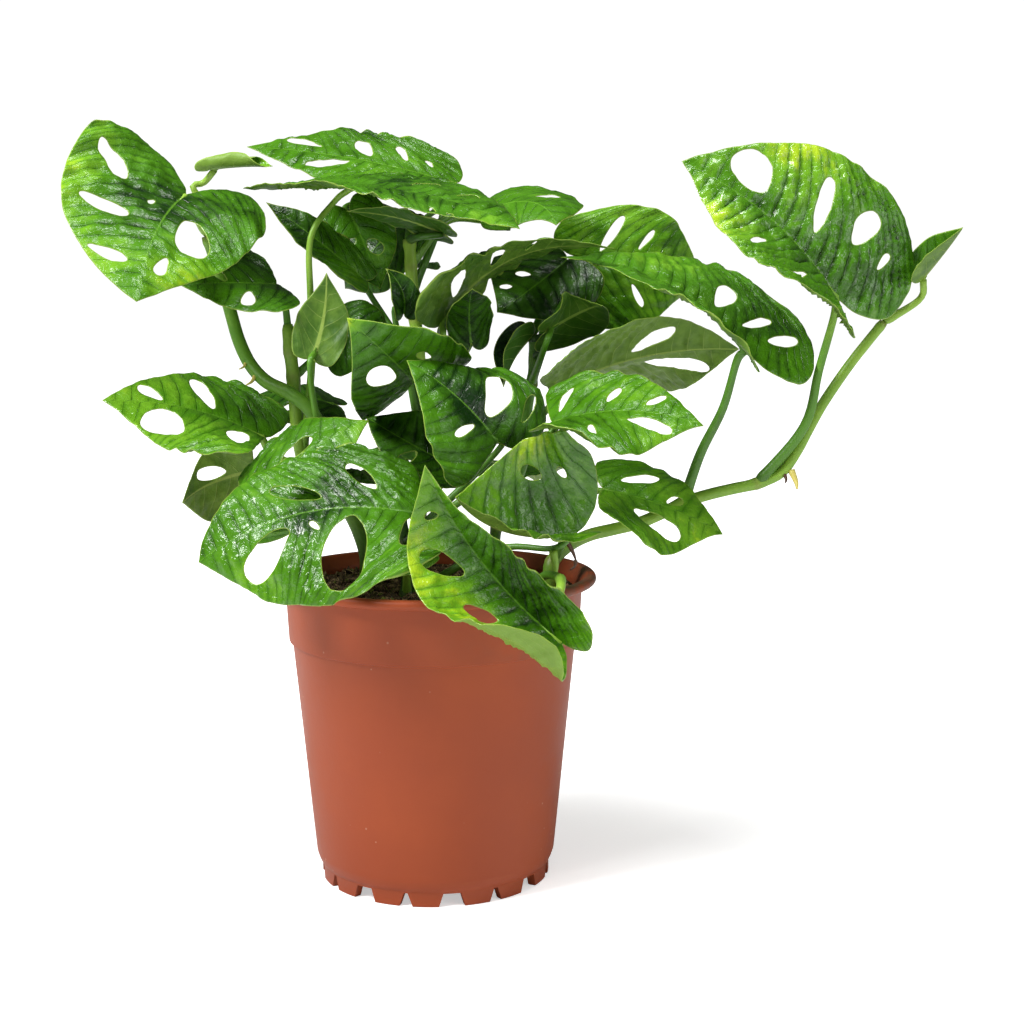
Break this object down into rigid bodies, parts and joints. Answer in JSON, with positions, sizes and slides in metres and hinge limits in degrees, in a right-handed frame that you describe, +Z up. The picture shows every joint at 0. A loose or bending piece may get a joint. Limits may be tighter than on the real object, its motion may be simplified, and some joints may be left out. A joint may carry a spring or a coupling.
{
  "type": "potted monstera adansonii plant",
  "caption": "Climbing house plant with glossy green holed leaves on thin stems, in a round terracotta-coloured plastic nursery pot.",
  "frame": {"origin": "middle of the bounding box, at the level of the pot's feet", "axes": "+X to the viewer's right across the widest spread of the plant, +Y away from the viewer, +Z up along the pot's axis"},
  "size_m": [0.4552, 0.2938, 0.3966],
  "materials": {
    "leaf": "glossy green leaf, upper side",
    "leaf_underside": "matte grey-green leaf, underside to the front",
    "stem": "smooth light green stem",
    "potting_soil": "rough damp peat with fibres",
    "pot_plastic": "moulded terracotta-coloured plastic, semi-matte"
  },
  "bodies": {
    "root": {"leaf_back_high": "leaf", "leaf_back_left": "leaf", "leaf_back_low": "leaf", "leaf_back_right": "leaf", "leaf_back_wide": "leaf", "leaf_centre": "leaf", "leaf_centre_curled": "leaf", "leaf_centre_low": "leaf", "leaf_centre_tall": "leaf", "leaf_cross_dark": "leaf", "leaf_crumpled": "leaf", "leaf_dark_rolled": "leaf", "leaf_front_hanging": "leaf", "leaf_front_left": "leaf", "leaf_front_low": "leaf", "leaf_left_back": "leaf", "leaf_left_front": "leaf", "leaf_left_low": "leaf_underside", "leaf_left_mid": "leaf", "leaf_left_upper": "leaf", "leaf_long_under": "leaf_underside", "leaf_mid_back": "leaf", "leaf_mid_right": "leaf", "leaf_mid_right_under": "leaf_underside", "leaf_new_left": "leaf", "leaf_new_right": "leaf", "leaf_pale_under": "leaf_underside", "leaf_right_arch": "leaf", "leaf_right_back": "leaf", "leaf_right_front": "leaf", "leaf_right_low": "leaf", "leaf_right_under": "leaf_underside", "leaf_top_back": "leaf", "leaf_top_front": "leaf", "leaf_top_right": "leaf", "leaf_top_shade": "leaf", "leaf_torn": "leaf", "leaf_upper_left": "leaf", "leaf_upper_mid_left": "leaf", "leaf_upper_right": "leaf", "pot": "pot_plastic", "soil": "potting_soil", "stem_centre": "stem", "stem_front": "stem", "stem_left": "stem", "stem_low": "stem", "stem_right": "stem", "stem_right_back": "stem", "stem_tall": "stem"}
  },
  "joints": []
}
